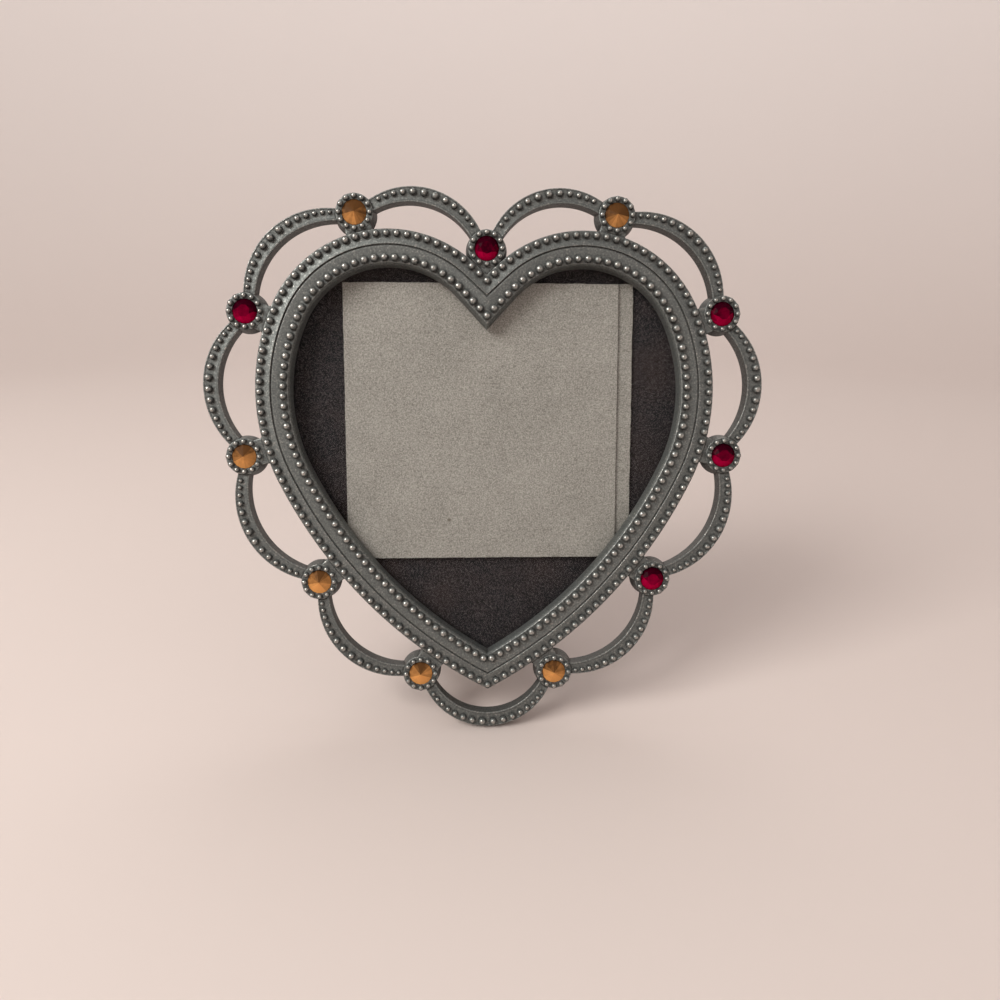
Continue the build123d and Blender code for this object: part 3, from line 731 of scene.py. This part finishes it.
def make_bead_tree():
    """Nodes that set a slightly uneven dome, drawn in at its seat, on each point by its bead_radius."""
    tree = bpy.data.node_groups.new("bead_rows", "GeometryNodeTree")
    for name, kind in [
        ("Seats", "NodeSocketGeometry"),
        ("Sides", "NodeSocketInt"),
        ("Rings", "NodeSocketInt"),
        ("Undercut", "NodeSocketFloat"),
        ("Lean", "NodeSocketFloat"),
        ("Unevenness", "NodeSocketFloat"),
        ("Seed", "NodeSocketInt"),
        ("Metal", "NodeSocketMaterial"),
    ]:
        tree.interface.new_socket(name, in_out="INPUT", socket_type=kind)
    tree.interface.new_socket("Beads", in_out="OUTPUT", socket_type="NodeSocketGeometry")
    given = node(tree, "NodeGroupInput").outputs
    ball = node(
        tree, "GeometryNodeMeshUVSphere", {"Segments": given["Sides"], "Rings": given["Rings"], "Radius": 1.0}
    ).outputs["Mesh"]
    position = node(tree, "GeometryNodeInputPosition").outputs[0]
    place = node(tree, "ShaderNodeSeparateXYZ", {0: position}).outputs
    base = node(tree, "ShaderNodeMath", {0: given["Undercut"], 1: -1.0}, operation="MULTIPLY").outputs[0]
    flat = node(tree, "ShaderNodeMath", {0: place["Z"], 1: base}, operation="MAXIMUM").outputs[0]
    height = node(tree, "ShaderNodeMath", {0: flat, 1: given["Undercut"]}, operation="ADD").outputs[0]
    moved = node(tree, "ShaderNodeCombineXYZ", {"X": place["X"], "Y": place["Y"], "Z": height}).outputs[0]
    dome = node(tree, "GeometryNodeSetPosition", {"Geometry": ball, "Position": moved}).outputs[0]
    top = node(tree, "ShaderNodeSeparateXYZ", {0: position}).outputs["Z"]
    # Dome tops get high relief: worn-back bead tops, and a painted glint on each cap.
    proud = node(
        tree, "ShaderNodeMapRange",
        {"Value": top, "From Min": 1.0, "From Max": 1.30, "To Min": -0.2, "To Max": 1.0},
    ).outputs[0]
    dome = node(
        tree, "GeometryNodeStoreNamedAttribute", {"Geometry": dome, "Name": "relief", "Value": proud},
        data_type="FLOAT", domain="POINT",
    ).outputs[0]
    dome = node(tree, "GeometryNodeSetShadeSmooth", {0: dome}).outputs[0]
    low = node(tree, "ShaderNodeMath", {0: 1.0, 1: given["Unevenness"]}, operation="SUBTRACT").outputs[0]
    high = node(tree, "ShaderNodeMath", {0: 1.0, 1: given["Unevenness"]}, operation="ADD").outputs[0]
    uneven = node(
        tree, "FunctionNodeRandomValue", {2: low, 3: high, "Seed": given["Seed"]}, data_type="FLOAT"
    ).outputs[1]
    radius = node(
        tree, "GeometryNodeInputNamedAttribute", {"Name": "bead_radius"}, data_type="FLOAT"
    ).outputs[0]
    size = node(tree, "ShaderNodeMath", {0: radius, 1: uneven}, operation="MULTIPLY").outputs[0]
    turn = node(tree, "ShaderNodeCombineXYZ", {"X": given["Lean"]}).outputs[0]
    turn = node(tree, "FunctionNodeEulerToRotation", {0: turn}).outputs[0]
    beads = node(
        tree, "GeometryNodeInstanceOnPoints",
        {"Points": given["Seats"], "Instance": dome, "Rotation": turn, "Scale": size},
    ).outputs[0]
    beads = node(tree, "GeometryNodeRealizeInstances", {0: beads}).outputs[0]
    beads = node(tree, "GeometryNodeSetMaterial", {"Geometry": beads, "Material": given["Metal"]}).outputs[0]
    node(tree, "NodeGroupOutput", {"Beads": beads})
    return tree


bead_tree = make_bead_tree()


def make_beads(name, spots, height, seed, cad_node):
    """Piece with a bead on each spot, given as a point and a radius, at one height."""
    mesh = bpy.data.meshes.new(name)
    mesh.from_pydata([at(*point, height) for point, radius in spots], [], [])
    sizes = mesh.attributes.new("bead_radius", "FLOAT", "POINT")
    sizes.data.foreach_set("value", [radius * MM for point, radius in spots])
    made = bpy.data.objects.new(name, mesh)
    bpy.context.collection.objects.link(made)
    maker = made.modifiers.new("beads", "NODES")
    maker.node_group = bead_tree
    values = {
        "Sides": 12, "Rings": 6, "Undercut": bead_undercut, "Lean": pi / 2 - lean,
        "Unevenness": 0.05, "Seed": seed, "Metal": pewter,
    }
    for socket in bead_tree.interface.items_tree:
        if socket.name in values:
            maker[socket.identifier] = values[socket.name]
    baked(made)
    # Painted light and shade on the beads as on the casting: tops and upper sides lighter, undersides darker.
    mark_front(made.data)
    settle(made, pewter, "frame", "antique_pewter", cad_node)


def heart_row(offset, radius, bead_at_tip):
    """Beads along a heart outline, evenly spaced from the notch, with or without one at the tip."""
    path = half_heart(offset)
    lengths = [0.0]
    for first, second in zip(path, path[1:]):
        lengths.append(lengths[-1] + hypot(second[0] - first[0], second[1] - first[1]))
    count = round(lengths[-1] / bead_pitch)
    steps = count if bead_at_tip else count + 0.5
    right = []
    piece = 0
    for step in range(count + 1):
        reach = min(lengths[-1], lengths[-1] * step / steps)
        while lengths[piece + 1] < reach and piece < len(path) - 2:
            piece += 1
        share = (reach - lengths[piece]) / (lengths[piece + 1] - lengths[piece])
        (u1, v1), (u2, v2) = path[piece], path[piece + 1]
        right.append((u1 + (u2 - u1) * share, v1 + (v2 - v1) * share))
    left = [(-u, v) for u, v in right if u > bead_pitch / 4]
    return [(point, radius) for point in right + left]


def graduated_row(scallop):
    """Beads along a scallop, from the two largest in its middle out to its settings."""
    inset = scallop_lip + scallop_bead_margin
    arc = scallop_arc(scallop, inset + scallop_bead_mid_radius, inset + scallop_bead_end_radius)
    half = arc[1] * arc[2]
    shrink = scallop_bead_mid_radius - scallop_bead_end_radius
    reach = scallop_bead_mid_radius * scallop_bead_spread
    beads = []
    while reach < half:
        radius = scallop_bead_mid_radius - shrink * reach / half
        for side in (-1, 1):
            point = on_scallop(scallop, arc, side * reach / arc[1])
            nearest = min(hypot(point[0] - u, point[1] - v) for u, v in scallop[:2])
            if nearest > drum_radius + radius:
                beads.append((point, radius))
        reach += 2 * radius * scallop_bead_spread
    return beads


ring_beads = [
    (around(setting, ring_radius, 360 * turn / ring_bead_count), ring_bead_radius)
    for setting in settings
    for turn in range(ring_bead_count)
]
scallop_beads = [bead for scallop in scallops for bead in graduated_row(scallop)]
inner_row_beads = heart_row(0, inner_bead_radius, False)
outer_row_beads = heart_row(outer_row, outer_bead_radius, True)
make_beads("inner_bead_row", inner_row_beads, inner_floor, 3, "inner_beads")
make_beads("outer_bead_row", outer_row_beads, outer_floor, 5, "outer_beads")
make_beads("scallop_bead_rows", scallop_beads, channel_floor, 7, "scallop_beads")
make_beads("setting_bead_rings", ring_beads, setting_front, 11, "setting_beads")


# Stones

def make_stone(name, setting, rings, material, slot, cad_node, twist):
    """Faceted stone from rings of a radius, a height, a count and a turn, with the painted light of each
    facet.
    """
    bm = bmesh.new()
    loops = []
    for radius, height, count, turn in rings:
        points = [around(setting, radius, 360 * (step + turn) / count + twist) for step in range(count)]
        loops.append([bm.verts.new(at(*point, height)) for point in points])
    for loop in (loops[0], loops[-1]):
        bm.faces.new(loop)
    bmesh.ops.convex_hull(bm, input=bm.verts)
    bmesh.ops.dissolve_limit(bm, angle_limit=radians(2), verts=bm.verts, edges=bm.edges)
    bmesh.ops.recalc_face_normals(bm, faces=bm.faces)
    # Painted light: facets facing down lighter and facets facing up darker, as if lit from above through the
    # stone, stones low on the frame a little lighter, and random painted glints on some facets.
    glow = 0.22 - 0.005 * setting[1]
    tilt_share = 1.4
    sparkle_share = 0.2
    painted_facet_light = []
    for number, face in enumerate(bm.faces):
        sparkle = noise.cell(Vector((number + 0.5, twist, 0.5)))
        painted_facet_light.append(glow - tilt_share * face.normal.dot(upward) + sparkle_share * sparkle)
    mesh = bpy.data.meshes.new(name)
    bm.to_mesh(mesh)
    bm.free()
    mesh.attributes.new("painted_facet_light", "FLOAT", "FACE").data.foreach_set("value", painted_facet_light)
    made = bpy.data.objects.new(name, mesh)
    bpy.context.collection.objects.link(made)
    settle(made, material, "frame", slot, cad_node)


# A ruby has a table and two tiers of facets, an amber stone runs up to a point
counts = {"ruby": 0, "amber": 0}
glasses = {"ruby": ruby_glass, "amber": amber_glass}
crown_top = setting_front + stone_crown
girdle = [(stone_radius, cup_floor, 16, 0.0), (stone_radius, setting_front, 16, 0.0)]
ruby_star = (ruby_star_radius, setting_front + ruby_star_rise, 8, 0.5)
ruby_table = (ruby_table_radius, crown_top, 8, 0.0)
crowns = {"ruby": [ruby_star, ruby_table], "amber": [(amber_point_radius, crown_top, 3, 0.0)]}
for index, (setting, kind) in enumerate(zip(settings, stone_colours)):
    counts[kind] += 1
    number = counts[kind]
    make_stone(
        f"{kind}_gem_{number}", setting, girdle + crowns[kind], glasses[kind],
        f"{kind}_glass", f"{kind}_stone_{number}", stone_twist * index,
    )


# Cards, lining and pane

def copied(*nodes):
    """Bmesh of the CAD shapes of some nodes, welded and freed of needless edges."""
    bm = bmesh.new()
    for cad_name in nodes:
        bm.from_mesh(frame["nodes"][cad_name].data)
    bmesh.ops.remove_doubles(bm, verts=bm.verts, dist=weld_gap)
    bmesh.ops.dissolve_limit(bm, angle_limit=radians(1), verts=bm.verts, edges=bm.edges)
    return bm


def placed(name, bm):
    """Object from a bmesh, smooth but for its sharp edges."""
    mesh = bpy.data.meshes.new(name)
    bm.to_mesh(mesh)
    bm.free()
    mesh.shade_smooth()
    mesh.set_sharp_from_angle(angle=crease_angle)
    made = bpy.data.objects.new(name, mesh)
    bpy.context.collection.objects.link(made)
    return made


def make_card(name, cad_node, raggedness):
    """Insert card whose straight cuts waver a little, as a hand cut with scissors does."""
    bm = copied(cad_node)
    straight = [edge for edge in bm.edges if edge.calc_length() > 8 * MM]
    bmesh.ops.subdivide_edges(bm, edges=straight, cuts=70)
    for vert in bm.verts:
        local = vert.co - origin
        spot = Vector((local.dot(across), local.dot(upward), 0)) / MM
        waver = noise.noise_vector(spot * 0.35) * 0.6 + noise.noise_vector(spot * 1.7) * 0.4
        vert.co += (across * waver.x + upward * waver.y) * raggedness * MM
    made = placed(name, bm)
    settle(made, greyboard, "frame", "grey_card", cad_node)


# A fixed seed, so that the cuts waver the same way on each run
noise.seed_set(4)
make_card("front_grey_card", "front_card", 0.12)
make_card("rear_grey_card", "rear_card", 0.2)


def make_heart_slab(name, back, front, material, slot, cad_node):
    """Flat heart shaped sheet that fills the rebate, its two faces clean and its cut edge eased."""
    ease = 0.08
    section = [(ease, back), (0.0, back + ease), (0.0, front - ease), (ease, front)]
    rows = [[at(*point, height) for point in whole_heart(stack_edge - inset)] for inset, height in section]
    made = skin(name, rows)
    settle(made, material, "frame", slot, cad_node)


make_heart_slab("heart_glass_pane", card_front, rebate_depth, clear_glass, "clear_glass", "glazing_pane")
make_heart_slab("black_paper_lining", board_front, lining_front, black_paper, "black_paper", "backing_lining")


# Back pieces

def make_softened(name, material, body, slot, edge, *nodes):
    """Copy of CAD shapes with their sharp edges eased by a small round."""
    bm = copied(*nodes)
    sharp = [e for e in bm.edges if e.is_manifold and e.calc_face_angle() > radians(35)]
    bmesh.ops.bevel(
        bm, geom=sharp, offset=edge * MM, segments=3, profile=0.5, affect="EDGES", clamp_overlap=True
    )
    made = placed(name, bm)
    settle(made, material, body, slot, *nodes)
    return made


def make_cloth(name, body, cad_node):
    """Velvet cut to a board's shape and glued flat over it."""
    made = make_softened(name, velvet, body, "black_velvet", 0.12, cad_node)


make_softened("backing_fibre_board", hardboard, "frame", "hardboard", 0.12, "backing_board")
make_cloth("backing_velvet_cover", "frame", "backing_velvet")
make_softened("easel_hinge_plate", nickel_steel, "frame", "plated_steel", 0.12, "hinge_plate")
make_softened("easel_hinge_pin", nickel_steel, "frame", "plated_steel", 0.2, "hinge_pin")
make_softened("plate_rivet_pair", nickel_steel, "frame", "plated_steel", 0.18, "plate_rivets")
make_softened("easel_leg_board", hardboard, "easel_leg", "hardboard", 0.25, "leg_board")
make_cloth("easel_leg_velvet", "easel_leg", "leg_velvet")
make_softened("easel_leg_leaf", nickel_steel, "easel_leg", "plated_steel", 0.12, "leg_leaf")
make_softened("leg_rivet_pair", nickel_steel, "easel_leg", "plated_steel", 0.18, "leg_rivets")
make_softened("turn_button_screw_set", brass, "frame", "brass", 0.12, "turn_button_screws")
for number in range(1, 5):
    button = f"turn_button_{number}"
    make_softened(f"brass_turn_button_{number}", brass, button, "brass", 0.18, button)


# Stage, light and camera

def make_stage():
    """Pale bowl that the frame stands in, its floor level and its rim turned up all round."""
    material, tree, surface = finish("pale_studio_floor", {"Roughness": 0.9, "Specular IOR Level": 0.1})
    place = node(tree, "ShaderNodeTexCoord").outputs["Object"]
    cloud = node(tree, "ShaderNodeTexNoise", {"Vector": place, "Scale": 3.0, "Detail": 1}).outputs[0]
    cloth = node(
        tree, "ShaderNodeMix", {0: cloud, 6: colour("d6c9c3"), 7: colour("dbcfc9")}, data_type="RGBA"
    ).outputs[2]
    height = node(tree, "ShaderNodeSeparateXYZ", {0: place}).outputs["Z"]
    wall = node(tree, "ShaderNodeMapRange", {"Value": height, "From Min": 0.0, "From Max": 0.35}).outputs[0]
    tint = node(tree, "ShaderNodeMix", {0: wall, 6: cloth, 7: colour("f6efec")}, data_type="RGBA").outputs[2]
    tree.links.new(tint, surface.inputs["Base Color"])
    centre = (0.0, -0.25)
    floor_radius = 0.7
    curl = 0.4
    wall_height = 1.6
    section = [(0.2, 0.0), (floor_radius, 0.0)]
    for angle in range(6, 91, 6):
        section.append((floor_radius + curl * sin(radians(angle)), curl * (1 - cos(radians(angle)))))
    section.append((floor_radius + curl, wall_height))
    sides = 96
    bm = bmesh.new()
    loops = []
    for radius, height in section:
        points = [around(centre, radius, 360 * side / sides) for side in range(sides)]
        loops.append([bm.verts.new((x, y, height)) for x, y in points])
    bm.faces.new(loops[0])
    for first, second in zip(loops, loops[1:]):
        for corners in zip(first, first[1:] + first[:1], second[1:] + second[:1], second):
            bm.faces.new(corners)
    bmesh.ops.recalc_face_normals(bm, faces=bm.faces)
    bmesh.ops.reverse_faces(bm, faces=bm.faces)
    made = placed("studio_floor", bm)
    made.data.materials.append(material)


def make_light(name, place, size, power, tint):
    """Square soft light that points at the middle of the frame."""
    lamp = bpy.data.lights.new(name, "AREA")
    lamp.size = size
    lamp.energy = power
    lamp.color = colour(tint)[:3]
    made = bpy.data.objects.new(name, lamp)
    made.location = place
    made.rotation_euler = (at(0, -15, 5) - Vector(place)).to_track_quat("-Z", "Y").to_euler()
    bpy.context.collection.objects.link(made)


make_stage()
make_light("key_light", (-0.44, -0.36, 0.50), 0.36, 4.2, "fffdf9")
make_light("fill_light", (0.55, -0.45, 0.35), 0.60, 0.3, "f6f8ff")
make_light("back_light", (0.10, 0.42, 0.95), 0.60, 2.2, "ffffff")

world = bpy.data.worlds.new("soft_studio")
world.use_nodes = True
world.node_tree.nodes["Background"].inputs["Color"].default_value = colour("f4f2f0")
world.node_tree.nodes["Background"].inputs["Strength"].default_value = 0.45
bpy.context.scene.world = world
bpy.context.scene.view_settings.view_transform = "Standard"

# Camera as the photograph was taken: close, a little above, turned slightly to one side
focal_share = 0.754
tilt = radians(6.44)
yaw = radians(2.58)
eye = at(-4.39, -11.09, 163.36)
side = cos(yaw) * across + sin(yaw) * facing
above = sin(tilt) * sin(yaw) * across + cos(tilt) * upward - sin(tilt) * cos(yaw) * facing
camera_data = bpy.data.cameras.new("camera")
camera_data.sensor_width = 36.0
camera_data.lens = focal_share * camera_data.sensor_width
camera_data.clip_start = 0.01
camera = bpy.data.objects.new("camera", camera_data)
camera.matrix_world = Matrix.Translation(eye) @ Matrix((side, above, side.cross(above))).transposed().to_4x4()
bpy.context.collection.objects.link(camera)
bpy.context.scene.camera = camera
